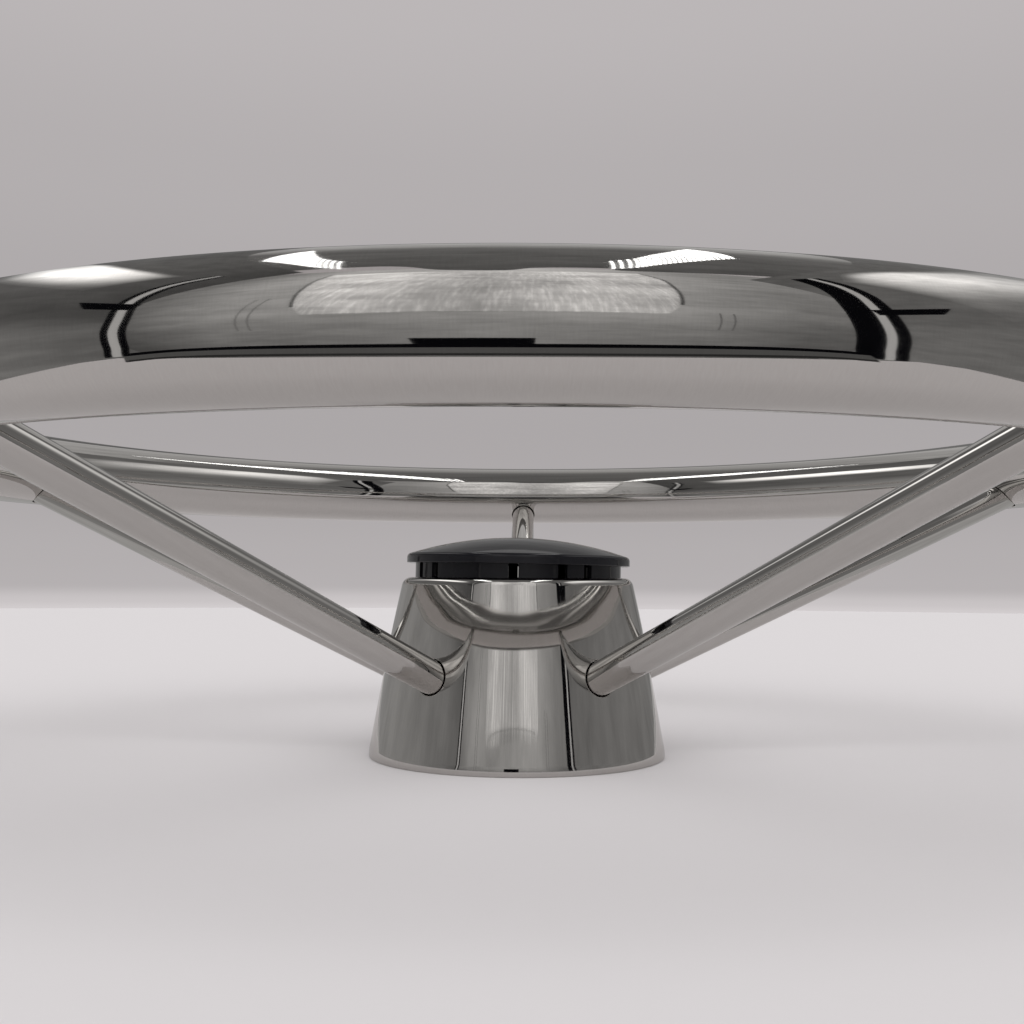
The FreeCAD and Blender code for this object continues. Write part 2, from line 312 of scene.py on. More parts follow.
class Tube:
    """One skin of the rim tube. facing is 1 for the outside and -1 for the bore."""

    def __init__(self, radius, facing):
        self.radius = radius
        self.facing = facing

    def shrunk(self, depth):
        """The same skin, deeper inside the tube."""
        return Tube(self.radius - depth, self.facing)

    def at(self, azimuth, around):
        """Points and normals. around is 0 on the tube's inner side, and grows downwards."""
        way_out, way_up = -np.cos(around), -np.sin(around)
        radius = rim_centre_radius + self.radius * way_out
        height = rim_centre_height + self.radius * way_up
        return swept(radius, height, azimuth), swept(way_out, way_up, azimuth) * self.facing

    def outward(self, points):
        """Distance outside this skin, and the direction that it grows in."""
        azimuth, around = self.place(points)
        out = np.hypot(points[:, 0], points[:, 1]) - rim_centre_radius
        distance = np.hypot(out, points[:, 2] - rim_centre_height) - self.radius
        return distance, swept(-np.cos(around), -np.sin(around), azimuth)

    def place(self, points):
        """Azimuth and around of points on the skin."""
        out = np.hypot(points[:, 0], points[:, 1]) - rim_centre_radius
        up = points[:, 2] - rim_centre_height
        return np.arctan2(points[:, 1], points[:, 0]), np.arctan2(-up, -out)


class Cone:
    """One skin of the hub cone. inset is 0 for the outside and the wall for the inside."""

    def __init__(self, inset, facing):
        self.inset = inset
        self.facing = facing
        lean = math.atan(hub_taper)
        self.way_out, self.way_up = math.cos(lean), math.sin(lean)

    def shrunk(self, depth):
        """The same skin, deeper inside the cone."""
        return Cone(self.inset + depth / self.way_out, self.facing)

    def at(self, azimuth, height):
        """Points and normals."""
        radius = hub_radius_at(height) - self.inset
        return swept(radius, height, azimuth), swept(self.way_out, self.way_up, azimuth) * self.facing

    def outward(self, points):
        """Distance outside this skin, and the direction that it grows in."""
        azimuth, height = self.place(points)
        past_radius = np.hypot(points[:, 0], points[:, 1]) - hub_radius_at(height) + self.inset
        return past_radius * self.way_out, swept(self.way_out, self.way_up, azimuth)

    def place(self, points):
        """Azimuth and height of points on the skin."""
        return np.arctan2(points[:, 1], points[:, 0]), points[:, 2]


def spoke_lines(angles, radius, start):
    """Points at a radius about the spoke's axis, from a point of that axis, and their directions."""
    outward = np.cos(angles)[:, None] * sideways + np.sin(angles)[:, None] * spoke_upward
    return start + radius * outward, outward


def hit(skin, starts):
    """Where lines along the spoke reach a skin, counted from starts before it."""
    tries = 40
    points = starts.copy()
    for _ in range(tries):
        distance, growing = skin.outward(points)
        points = points - (distance / (growing @ spoke_direction))[:, None] * spoke_direction
    return points


def block_edge(columns, rows, first_column, last_column, first_row, last_row):
    """Column and row values once round the edge of a block of the grid."""
    across = range(first_column, last_column)
    down = range(first_row, last_row)
    loop = [(k, first_row) for k in across]
    loop += [(last_column, k) for k in down]
    loop += [(k + 1, last_row) for k in reversed(across)]
    loop += [(first_column, k + 1) for k in reversed(down)]
    picked = np.array(loop)
    return columns[picked[:, 0]], rows[picked[:, 1]]


def add_turned(shape, points, normals, keep=None):
    """Adds one sector's sheet once for each spoke."""
    for k in range(spoke_count):
        azimuth = first_spoke_azimuth + sector * k
        shape.add_sheet(turned_to(points, azimuth), turned_to(normals, azimuth), keep)


def add_pierced_skin(shape, skin, columns, rows, block, line_start, rounding, angles=None):
    """One sector of a skin with its spoke hole, then turned to each spoke.

    Returns the angles about the spoke's axis, and the loop where the hole's wall begins, with the
    directions there that lead away from the axis."""
    crowding = 1.5
    first_column, last_column, first_row, last_row = block
    azimuth, row = np.meshgrid(columns, rows)
    keep = np.ones((len(rows) - 1, len(columns) - 1), bool)
    keep[first_row:last_row, first_column:last_column] = False
    points, normals = skin.at(azimuth, row)
    add_turned(shape, points, normals, keep)

    edge_azimuth, edge_row = block_edge(columns, rows, *block)
    edge_points, _ = skin.at(edge_azimuth, edge_row)
    if angles is None:
        from_axis = edge_points - line_start
        angles = np.arctan2(from_axis @ spoke_upward, from_axis @ sideways)
    hole_radius = spoke_radius + spoke_hole_clearance
    starts, outward = spoke_lines(angles, hole_radius + rounding, line_start)
    inside = skin.shrunk(rounding)
    centres = hit(inside, starts)
    _, growing = inside.outward(centres)
    mouth = centres + rounding * growing
    mouth_azimuth, mouth_row = skin.place(mouth)
    share = np.linspace(0, 1, hole_ring_steps + 1)[:, None] ** crowding
    ring_azimuth = mouth_azimuth + share * (edge_azimuth - mouth_azimuth)
    ring_row = mouth_row + share * (edge_row - mouth_row)
    points, normals = skin.at(closed(ring_azimuth), closed(ring_row))
    add_turned(shape, points, normals)

    wall = centres - rounding * outward
    if rounding > 0:
        turn = np.arccos((growing * -outward).sum(axis=1))[None, :, None]
        share = np.linspace(0, 1, hole_rounding_steps + 1)[:, None, None]
        normals = swung(share, turn, growing, -outward)
        add_turned(shape, closed(centres + rounding * normals), closed(normals))
    return angles, wall, outward


def closed(grid):
    """The grid with its first column repeated at the end."""
    return np.concatenate([grid, grid[:, :1]], axis=1)


def steps_with_block(low, block_low, block_high, high, coarse, fine):
    """Values from low to high with a finer block in them, and the block's first and last index."""
    before = np.linspace(low, block_low, coarse[0] + 1)
    block = np.linspace(block_low, block_high, fine + 1)
    after = np.linspace(block_high, high, coarse[1] + 1)
    values = np.concatenate([before[:-1], block, after[1:]])
    return values, coarse[0], coarse[0] + fine


def add_object(name, data):
    """A new object in the scene."""
    piece = bpy.data.objects.new(name, data)
    bpy.context.scene.collection.objects.link(piece)
    return piece


def finish_piece(name, mesh, material, slot, *nodes):
    """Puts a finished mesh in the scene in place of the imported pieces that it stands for."""
    piece = add_object(name, mesh)
    mesh.materials.append(material)
    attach(piece, "root")
    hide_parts(*nodes)


def make_rim(material):
    """The hollow ring, with its five spoke holes."""
    shape = Shape()
    half = sector / 2
    hole_half_width = math.radians(3.2)
    hole_steps = (14, 32)
    line_start = spoke_axis_at(rim_centre_radius - 2 * tube_radius)
    # Each skin's steps along the ring beside the hole, the angles of its seam and hole round the tube,
    # its steps there before and after the hole, and the rounding of the hole's edge.
    skins = (
        (Tube(tube_radius, 1), 44, (-170, -18, 88, 190), (42, 28), hole_edge_rounding),
        (Tube(tube_bore, -1), 12, (-150, -16, 100, 210), (12, 10), 0.0),
    )
    walls = []
    angles = None
    for skin, steps, seam_and_hole, steps_round, rounding in skins:
        columns, *hole_columns = steps_with_block(
            -half, -hole_half_width, hole_half_width, half, (steps, steps), hole_steps[0]
        )
        limits = [math.radians(angle) for angle in seam_and_hole]
        rows, *hole_rows = steps_with_block(*limits, steps_round, hole_steps[1])
        angles, wall, outward = add_pierced_skin(
            shape, skin, columns, rows, (*hole_columns, *hole_rows), line_start, rounding, angles
        )
        walls.append(wall)
    add_turned(shape, closed(np.stack(walls)), closed(np.stack([-outward, -outward])))
    finish_piece("rim_tube", shape.mesh("rim_tube"), material, "polished_steel", "rim")


def hub_outline():
    """The corners of the hub cone's section, from the outside of its base round to the inside."""
    groove_radius = cap_bore_radius + barb_groove_depth
    ledge_radius = cap_bore_radius - cap_ledge_width
    ledge_underside = cap_seat_height - cap_ledge_thickness
    web_seat_radius = hub_radius_at(web_top) - hub_wall
    neck_radius = web_seat_radius - web_shoulder_width
    crown_radius = hub_radius_at(hub_crown_height)
    top_radius = crown_radius - (hub_height - hub_crown_height) * hub_upper_taper
    return [
        (hub_base_radius, 0, hub_base_edge_rounding),
        (hub_base_radius, hub_base_land, hub_land_rounding),
        (crown_radius, hub_crown_height, hub_crown_radius),
        (top_radius, hub_height, hub_top_edge_rounding),
        (cap_bore_radius, hub_height, hub_base_edge_rounding),
        (cap_bore_radius, groove_top, 0),
        (groove_radius, groove_top, 0),
        (groove_radius, groove_bottom, 0),
        (cap_bore_radius, groove_bottom, 0),
        (cap_bore_radius, cap_seat_height, 0),
        (ledge_radius, cap_seat_height, 0),
        (ledge_radius, ledge_underside, 0),
        (neck_radius, ledge_underside, 0),
        (neck_radius, web_top, 0),
        (web_seat_radius, web_top, 0),
        (web_seat_radius, web_underside, 0),
        (hub_radius_at(web_underside) - hub_wall, web_underside, 0),
        (hub_base_radius - hub_wall, hub_base_land, 0),
        (hub_base_radius - hub_wall, 0, hub_base_edge_rounding),
    ]


def is_cone_side(section):
    """Whether a part of the outline is one of the two skins that the spokes pierce."""
    low, high = sorted((section[0][1], section[-1][1]))
    return len(section) == 2 and low < spoke_height_at_hub < high


def make_hub_cone(material):
    """The turned shell, pierced by the five spokes."""
    shape = Shape()
    columns = np.linspace(-sector / 2, sector / 2, hub_columns_per_sector + 1)
    block_columns = (hub_columns_per_sector // 3, 2 * hub_columns_per_sector // 3)
    block_half_height = 6.4 * MM
    least_rest = 0.3 * MM
    walls = []
    angles = None
    for section, normals in rounded(hub_outline()):
        if not is_cone_side(section):
            points, directions = (
                swept(pairs[:, :1], pairs[:, 1:], columns) for pairs in (section, normals)
            )
            add_turned(shape, points, directions)
            continue
        outside = normals[0][0] > 0
        rest_rows = (10, 10) if outside else (4, 1)
        skin = Cone(0.0 if outside else hub_wall, 1 if outside else -1)
        radius = hub_radius_at(spoke_height_at_hub) - skin.inset
        middle = spoke_axis_at(radius)[2]
        low, high = sorted(pair[1] for pair in section)
        rows, first_row, last_row = steps_with_block(
            low, middle - block_half_height, min(middle + block_half_height, high - least_rest), high,
            rest_rows, hub_hole_rows,
        )
        if outside:
            line_start = spoke_axis_at(radius + 3 * spoke_radius)
            rounding = hole_edge_rounding
        else:
            rounding = 0.0
        angles, wall, outward = add_pierced_skin(
            shape, skin, columns, rows, (*block_columns, first_row, last_row), line_start, rounding, angles
        )
        walls.append(wall)
    add_turned(shape, closed(np.stack(walls)), closed(np.stack([-outward, -outward])))
    finish_piece("hub_shell", shape.mesh("hub_shell"), material, "polished_steel", "hub_cone")


def make_spoke(number, material):
    """A round rod with chamfered ends, from its socket in the hub to the inside of the rim."""
    shape = Shape()
    angles = np.linspace(0, 2 * math.pi, rod_sides + 1)
    length = np.linalg.norm(spoke_end - spoke_start)
    end_radius = spoke_radius - spoke_end_chamfer
    outline = [
        (0, 0), (0, end_radius), (spoke_end_chamfer, spoke_radius),
        (length - spoke_end_chamfer, spoke_radius), (length, end_radius), (length, 0),
    ]
    azimuth = first_spoke_azimuth + sector * (number - 1)
    for start, end in zip(outline, outline[1:]):
        forward, outward = -square_to(start, end)
        points = []
        normals = []
        for along, radius in (start, end):
            ring, way_out = spoke_lines(angles, radius, spoke_start + along * spoke_direction)
            points.append(ring)
            normals.append(forward * spoke_direction + outward * way_out)
        shape.add_sheet(turned_to(np.stack(points), azimuth), turned_to(np.stack(normals), azimuth))
    name = "spoke_rod_%d" % number
    finish_piece(name, shape.mesh(name), material, "polished_steel", "spoke_%d" % number)


def collar_slots():
    """Azimuth of each slot of the cap's collar, and whether the space after it is a snap finger."""
    slots = []
    for k in range(finger_count):
        finger = first_finger_azimuth + 2 * math.pi * k / finger_count
        slots.append((finger - finger_half_angle, True))
        slots.append((finger + finger_half_angle, False))
        slots.append((finger + relief_slot_offset, False))
    return slots


def collar_columns(radius):
    """Azimuths once round the collar at a radius, and what lies between each two of them."""
    column_width = math.radians(1.6)
    slot_columns = 3
    half_width = math.asin(collar_slot_width / 2 / radius)
    slots = collar_slots()
    azimuths = []
    kinds = []
    for k, (slot, is_finger) in enumerate(slots):
        onward = slots[k + 1][0] if k + 1 < len(slots) else slots[0][0] + 2 * math.pi
        steps = round((onward - slot) / column_width)
        azimuths.extend(np.linspace(slot - half_width, slot + half_width, slot_columns + 1)[:-1])
        azimuths.extend(np.linspace(slot + half_width, onward - half_width, steps + 1)[:-1])
        kinds.extend(["slot"] * slot_columns + ["finger" if is_finger else "wall"] * steps)
    azimuths.append(azimuths[0] + 2 * math.pi)
    return np.array(azimuths), np.array(kinds)


def add_band(shape, stations, kinds=("slot", "finger", "wall"), column_radius=None):
    """A band round the cap through (radius, height, outward, upward) stations.

    Its columns follow the slots at column_radius, or at each station's own radius."""
    points = []
    normals = []
    for radius, height, outward, upward in stations:
        azimuths, between = collar_columns(column_radius or radius)
        points.append(swept(radius, height, azimuths))
        normals.append(swept(outward, upward, azimuths))
    keep = np.tile(np.isin(between, kinds), (len(stations) - 1, 1))
    shape.add_sheet(np.stack(points), np.stack(normals), keep)


def arc_stations(centre_radius, centre_height, radius, start, end, steps, facing=1):
    """Stations along an arc of the cap's section, between two angles up from level."""
    angles = np.linspace(start, end, steps + 1)
    return [
        (centre_radius + radius * c, centre_height + radius * s, facing * c, facing * s)
        for c, s in zip(np.cos(angles), np.sin(angles))
    ]


def finger_outline():
    """The outside of a snap finger from its foot to the brim: (radius, height) corners."""
    foot = cap_seat_height
    barb_foot = foot + barb_start
    barb_top = barb_foot + barb_height
    reach = cap_collar_radius + barb_depth
    return [
        (cap_collar_radius, foot),
        (cap_collar_radius, barb_foot),
        (reach, barb_foot + barb_height / 2),
        (reach, barb_top),
        (cap_collar_radius, barb_top),
        (cap_collar_radius, foot + cap_collar_length),
    ]


def add_slot_sides(shape, inner_radius):
    """The two flat sides of each slot of the collar."""
    foot = cap_seat_height
    top = foot + cap_collar_length
    plain = [(cap_collar_radius, foot), (cap_collar_radius, top)]
    inside = [(inner_radius, top), (inner_radius, foot)]
    slots = collar_slots()
    for k, (slot, finger_after) in enumerate(slots):
        finger_before = slots[k - 1][1]
        way_round = np.array([-math.sin(slot), math.cos(slot), 0])
        for side, is_finger in ((-1, finger_before), (1, finger_after)):
            radius, height = np.array((finger_outline() if is_finger else plain) + inside).T
            azimuth = slot + side * np.arcsin(collar_slot_width / 2 / radius)
            shape.add_face(swept(radius, height, azimuth), -side * way_round)


def make_centre_cap(material):
    """The moulded cap: a dome with a rolled brim, over a collar cut into snap fingers."""
    shape = Shape()
    lip_steps, roll_steps, dome_steps, hollow_steps = 6, 12, 24, 12
    foot = cap_seat_height
    underside = foot + cap_collar_length
    inner_radius = cap_collar_radius - cap_collar_wall
    brim_top = underside + cap_brim_height
    dome_centre = brim_top - math.sqrt(cap_dome_radius ** 2 - cap_brim_radius ** 2)
    roll_radius = cap_brim_radius - cap_brim_rounding
    roll_angle = math.acos(roll_radius / (cap_dome_radius - cap_brim_rounding))
    roll_height = dome_centre + (cap_dome_radius - cap_brim_rounding) * math.sin(roll_angle)
    lip_radius = cap_brim_radius - cap_underside_rounding
    lip_height = underside + cap_underside_rounding
    hollow = cap_dome_radius - cap_shell
    hollow_angle = math.acos(inner_radius / hollow)
    hollow_edge = dome_centre + hollow * math.sin(hollow_angle)

    outside = [(cap_collar_radius, underside, 0, -1), (lip_radius, underside, 0, -1)]
    outside += arc_stations(lip_radius, lip_height, cap_underside_rounding, -math.pi / 2, 0, lip_steps)[1:]
    outside += arc_stations(roll_radius, roll_height, cap_brim_rounding, 0, roll_angle, roll_steps)
    outside += arc_stations(0, dome_centre, cap_dome_radius, roll_angle, math.pi / 2, dome_steps)[1:]
    add_band(shape, outside, column_radius=cap_collar_radius)
    inside = [(inner_radius, underside, -1, 0), (inner_radius, hollow_edge, -1, 0)]
    add_band(shape, inside)
    ceiling = arc_stations(0, dome_centre, hollow, hollow_angle, math.pi / 2, hollow_steps, facing=-1)
    add_band(shape, ceiling, column_radius=inner_radius)

    solid = ("finger", "wall")
    add_band(shape, [(cap_collar_radius, foot, 1, 0), (cap_collar_radius, underside, 1, 0)], ("wall",))
    corners = finger_outline()
    for start, end in zip(corners, corners[1:]):
        way_out = square_to(start, end)
        add_band(shape, [(*start, *way_out), (*end, *way_out)], ("finger",))
    add_band(shape, [(inner_radius, foot, -1, 0), (inner_radius, underside, -1, 0)], solid)
    add_band(shape, [(cap_collar_radius, foot, 0, -1), (inner_radius, foot, 0, -1)], solid)
    roof = [(cap_collar_radius, underside, 0, -1), (inner_radius, underside, 0, -1)]
    add_band(shape, roof, ("slot",))
    add_slot_sides(shape, inner_radius)
    shape.tip(np.array([cap_collar_radius, 0, foot]), cap_tilt)
    finish_piece("cap", shape.mesh("cap"), material, "black_plastic", "centre_cap")


def node_shader(name):
    """A new material, its node tree and its shader."""
    material = bpy.data.materials.new(name)
    material.use_nodes = True
    tree = material.node_tree
    return material, tree, tree.nodes["Principled BSDF"]


def add_node(tree, kind, *sources, operation=None):
    """A new node, with its first inputs linked to the sources in turn."""
    node = tree.nodes.new("ShaderNode" + kind)
    if operation:
        node.operation = operation
    for source, socket in zip(sources, node.inputs):
        tree.links.new(source, socket)
    return node


def scaled(tree, vector, scale):
    """A coordinate, scaled along each of its axes."""
    mapping = add_node(tree, "Mapping", vector)
    mapping.inputs["Scale"].default_value = scale
    return mapping.outputs["Vector"]


def around_shaft(tree, stroke_width, stroke_length, radius):
    """Coordinates for a grain that is stretched round the shaft line or across it.

    stroke_width is its size round the shaft line, at the radius, and stroke_length its size across."""
    place = add_node(tree, "TexCoord").outputs["Object"]
    x, y, z = add_node(tree, "SeparateXYZ", place).outputs
    azimuth = add_node(tree, "Math", y, x, operation="ARCTAN2").outputs["Value"]
    flat = add_node(tree, "CombineXYZ", x, y).outputs["Vector"]
    from_axis = add_node(tree, "VectorMath", flat, operation="LENGTH").outputs["Value"]
    joined = add_node(tree, "CombineXYZ", azimuth, from_axis, z).outputs["Vector"]
    return scaled(tree, joined, (radius / stroke_width, 1 / stroke_length, 1 / stroke_length))


def noise(tree, vector, detail, roughness=0.5):
    """A noise value at a coordinate."""
    grain = add_node(tree, "TexNoise", vector)
    for name, value in (("Scale", 1.0), ("Detail", detail), ("Roughness", roughness)):
        grain.inputs[name].default_value = value
    return grain.outputs["Fac"]


def ranged(tree, value, low, high, to_low, to_high):
    """A value stretched from one range to another, and held inside it."""
    stretch = add_node(tree, "MapRange", value)
    limits = {"From Min": low, "From Max": high, "To Min": to_low, "To Max": to_high}
    for name, limit in limits.items():
        stretch.inputs[name].default_value = limit
    return stretch.outputs["Result"]


def times(tree, first, second):
    """The product of two values."""
    return add_node(tree, "Math", first, second, operation="MULTIPLY").outputs["Value"]


def between(tree, factor, first, second):
    """A colour between two others."""
    mix = tree.nodes.new("ShaderNodeMix")
    mix.data_type = "RGBA"
    colour_inputs = [socket for socket in mix.inputs if socket.type == "RGBA"]
    for socket, colour in zip(colour_inputs, (first, second)):
        socket.default_value = (*colour, 1)
    tree.links.new(factor, mix.inputs[0])
    return next(socket for socket in mix.outputs if socket.type == "RGBA")


def set_surface(tree, shader, colour, roughness, height, depth):
    """Links a shader's colour and roughness, and gives it a bump of a depth in metres."""
    bump = tree.nodes.new("ShaderNodeBump")
    bump.inputs["Distance"].default_value = depth
    tree.links.new(height, bump.inputs["Height"])
    tree.links.new(colour, shader.inputs["Base Color"])
    tree.links.new(roughness, shader.inputs["Roughness"])
    tree.links.new(bump.outputs["Normal"], shader.inputs["Normal"])


def polished_steel(name, radius, stroke_width, stroke_length, wave_length):
    """Mirror-polished stainless, with the fine strokes and slight waves that the polishing leaves.

    The strokes run across the way round the shaft line, and are measured at the radius."""
    darker, paler = (0.585, 0.57, 0.55), (0.61, 0.595, 0.575)
    smoothest, roughest = 0.025, 0.05
    wave_depth = 0.02 * MM
    material, tree, shader = node_shader(name)
    strokes = noise(tree, around_shaft(tree, stroke_width, stroke_length, radius), detail=2.0)
    patches = noise(tree, around_shaft(tree, 6 * wave_length, 2 * wave_length, radius), detail=3.0)
    waves = noise(tree, around_shaft(tree, 3 * wave_length, wave_length, radius), detail=0.0)
    colour = between(tree, ranged(tree, strokes, 0.3, 0.7, 0, 1), darker, paler)
    roughness = ranged(tree, patches, 0.35, 0.65, smoothest, roughest)
    shader.inputs["Metallic"].default_value = 1.0
    set_surface(tree, shader, colour, roughness, waves, wave_depth)
    return material


def turned_steel():
    """Stainless as it comes off the lathe: fine grooves round the shaft line."""
    darker, paler = (0.50, 0.50, 0.49), (0.60, 0.60, 0.59)
    smoothest, roughest = 0.24, 0.36
    groove_length = 60 * MM
    groove_pitch = 0.35 * MM
    groove_depth = 0.03 * MM
    patch_size = 8 * MM
    material, tree, shader = node_shader("turned_steel")
    grooves = noise(tree, around_shaft(tree, groove_length, groove_pitch, boss_radius), detail=1.0)
    patches = noise(tree, around_shaft(tree, patch_size, patch_size, boss_radius), detail=3.0)
    roughness = ranged(tree, patches, 0.3, 0.7, smoothest, roughest)
    shader.inputs["Metallic"].default_value = 1.0
    shader.inputs["Anisotropic"].default_value = 0.5
    set_surface(tree, shader, between(tree, patches, darker, paler), roughness, grooves, groove_depth)
    return material


def black_plastic():
    """Gloss black moulded plastic, with the faint unevenness of a moulding."""
    darker, paler = (0.006, 0.006, 0.008), (0.012, 0.012, 0.014)
    smoothest, roughest = 0.04, 0.08
    patch_size = 9 * MM
    unevenness = 0.01 * MM
    material, tree, shader = node_shader("black_plastic")
    patches = noise(tree, around_shaft(tree, patch_size, patch_size, cap_brim_radius), detail=3.0)
    roughness = ranged(tree, patches, 0.35, 0.65, smoothest, roughest)
    shader.inputs["Specular IOR Level"].default_value = 0.3
    set_surface(tree, shader, between(tree, patches, darker, paler), roughness, patches, unevenness)
    return material


def glow(name, colour, strength=1.0):
    """An evenly glowing surface of the surroundings, and its emission node."""
    material = bpy.data.materials.new(name)
    material.use_nodes = True
    tree = material.node_tree
    tree.nodes.clear()
    emission = add_node(tree, "Emission")
    emission.inputs["Color"].default_value = (*colour, 1)
    emission.inputs["Strength"].default_value = strength
    add_node(tree, "OutputMaterial", emission.outputs["Emission"])
    return material, emission


def sheet_level(tree):
    """How bright a lit sheet is at each place."""
    level = add_node(tree, "Attribute")
    level.attribute_name = "level"
    return level.outputs["Fac"]


def cloth_glow(name, grain, contrast, sparkle=0.0):
    """Glowing crumpled cloth, as bright as the level of its sheet at each place, with painted light and
    shade of its crumples and a painted sheen on its threads.

    grain is the size of its crumples across and up, in millimetres, and sparkle the shine of its threads."""
    thread_width = 1.8 * MM
    thread_length = 110 * MM
    across, upward = (size * MM for size in grain)
    material, emission = glow(name, cloth_tint)
    tree = material.node_tree
    place = add_node(tree, "NewGeometry").outputs["Position"]
    crumple_scale = (1 / across, 1 / across, 1 / upward)
    crumple_shading = noise(tree, scaled(tree, place, crumple_scale), detail=5.0, roughness=0.62)
    threads = noise(tree, scaled(tree, place, (1 / thread_width, 1, 1 / thread_length)), detail=1.0)
    # Painted light and shade of the crumples, and a painted sheen on the threads.
    swing = ranged(tree, crumple_shading, 0.32, 0.68, 1 - contrast, 1 + contrast)
    shine = ranged(tree, threads, 0.5, 0.72, 1, 1 + sparkle)
    crumpled = times(tree, sheet_level(tree), swing)
    tree.links.new(times(tree, crumpled, shine), emission.inputs["Strength"])
    return material


def stage_sheet(name, points, faces, material, unseen_by=seen_in_metal_only):
    """A sheet of the surroundings, from points in millimetres. unseen_by names the rays that miss it."""
    mesh = bpy.data.meshes.new(name)
    mesh.from_pydata([tuple(v * MM for v in point) for point in points], [], faces)
    mesh.materials.append(material)
    piece = add_object(name, mesh)
    for ray in unseen_by:
        setattr(piece, ray, False)
    return piece


def card(name, corners, material, unseen_by=seen_in_metal_only):
    """A flat sheet of the surroundings, from its corners in millimetres."""
    stage_sheet(name, corners, [tuple(range(len(corners)))], material, unseen_by)


def smooth_path(places):
    """Points along a smooth curve through a few places."""
    places = np.array(places, float)
    ends = np.vstack([2 * places[0] - places[1], places, 2 * places[-1] - places[-2]])
    points = []
    for before, start, end, after in zip(ends, ends[1:], ends[2:], ends[3:]):
        bend = 2 * before - 5 * start + 4 * end - after
        twist = 3 * start - before - 3 * end + after
        for share in np.arange(path_steps) / path_steps:
            points.append(
                start + (end - before) * share / 2 + bend * share ** 2 / 2 + twist * share ** 3 / 2
            )
    points.append(places[-1])
    return np.array(points)


def grid_faces(rows, columns):
    """Quads of a grid of points."""
    return [
        (k * columns + j, k * columns + j + 1, (k + 1) * columns + j + 1, (k + 1) * columns + j)
        for k in range(rows - 1) for j in range(columns - 1)
    ]


def lit_sheet(name, rows, material, base=0.0, along=(1, 1), unseen_by=seen_in_metal_only):
    """A sheet through smooth paths, each with its own brightness.

    rows are (places, level). along says how far each place of a path has its row's level, not the base."""
    paths = [smooth_path(places) for places, _ in rows]
    columns = len(paths[0])
    reach = np.interp(np.linspace(0, 1, columns), np.linspace(0, 1, len(along)), along)
    points = []
    levels = []
    for k in range((len(rows) - 1) * row_steps + 1):
        low = min(k // row_steps, len(rows) - 2)
        share = k / row_steps - low
        eased = share * share * (3 - 2 * share)
        points.extend(paths[low] + (paths[low + 1] - paths[low]) * share)
        row_level = rows[low][1] + (rows[low + 1][1] - rows[low][1]) * eased
        levels.extend(base + (row_level - base) * reach)
    faces = grid_faces(len(points) // columns, columns)
    sheet = stage_sheet(name, points, faces, material, unseen_by)
    sheet.data.attributes.new("level", "FLOAT", "POINT").data.foreach_set("value", levels)


def ribbon(name, places, near, far, side, material):
    """A strip beside a smooth path, from near to far across it, in the plane square to side."""
    path = smooth_path(places)
    along = np.gradient(path, axis=0)
    across = np.cross(along, side)
    across /= np.linalg.norm(across, axis=1)[:, None]
    points = np.concatenate([path + across * near, path + across * far])
    stage_sheet(name, points, grid_faces(2, len(path)), material)


def light_strip(name, places, lean, material):
    """A row of narrow lamps along a smooth path. They lean from +Y, and grow longer along the row."""
    pitch = 33
    half_width = 2.5
    first_half_length = 130
    growth = 0.22
    path = smooth_path(places)
    lengths = np.concatenate([[0], np.cumsum(np.linalg.norm(np.diff(path, axis=0), axis=1))])
    points = []
    faces = []
    for k, place in enumerate(np.arange(0, lengths[-1], pitch)):
        middle = np.array([np.interp(place, lengths, path[:, axis]) for axis in range(3)])
        half_length = first_half_length + growth * place
        for x, y in ((-1, -1), (1, -1), (1, 1), (-1, 1)):
            points.append(middle + (x * half_width + y * half_length * lean, y * half_length, 0))
        faces.append((4 * k, 4 * k + 1, 4 * k + 2, 4 * k + 3))
    stage_sheet(name, points, faces, material)


def plain_grey(name, level):
    """An evenly glowing grey of the surroundings."""
    return glow(name, tuple(level * share for share in cloth_tint))[0]


def make_ceiling(cloth):
    """The ceiling, dark with painted shade and paler towards the back, and its two rows of lamps."""
    lamp_strength = 4.0
    lamp_drop = 4
    front_edge = [
        (-730, -370), (-300, -340), (-200, -370), (-140, -500), (-20, -530),
        (40, -440), (160, -420), (250, -480), (770, -303),
    ]
    rows = [([(x, y, room_height) for x, y in front_edge], 0.11)]
    for y, level in ((-200, 0.14), (300, 0.16), (800, 0.42), (room_back, 0.5)):
        rows.append(([(x, y, room_height) for x, _ in front_edge], level))
    lit_sheet("ceiling", rows, cloth)
    lamps, _ = glow("strip_lamps", (1, 1, 1), lamp_strength)
    strips = {
        "left": (0.16, [
            (-293, -240), (-304, -190), (-317, -100), (-324, 66), (-333, 200), (-345, 340),
        ]),
        "right": (-0.12, [
            (159, -300), (188, -215), (198, -130), (214, 12), (233, 154), (250, 300), (276, 480),
        ]),
    }
    for side, (lean, places) in strips.items():
        path = [(x, y, room_height - lamp_drop) for x, y in places]
        light_strip("strip_" + side, path, lean, lamps)


def bright_band(name, cloth, x, centre, half_height, above, below, level, wall_level, along):
    """The lit zone of a side wall: a band along a path of (y, z) places, with soft edges above and below."""
    rows = []
    for rise, row_level in (
        (half_height + above, wall_level),
        (half_height, level),
        (-half_height, level),
        (-half_height - below, wall_level),
    ):
        rows.append(([(x, y, z + rise) for y, z in centre], row_level))
    lit_sheet(name, rows, cloth, wall_level, along)


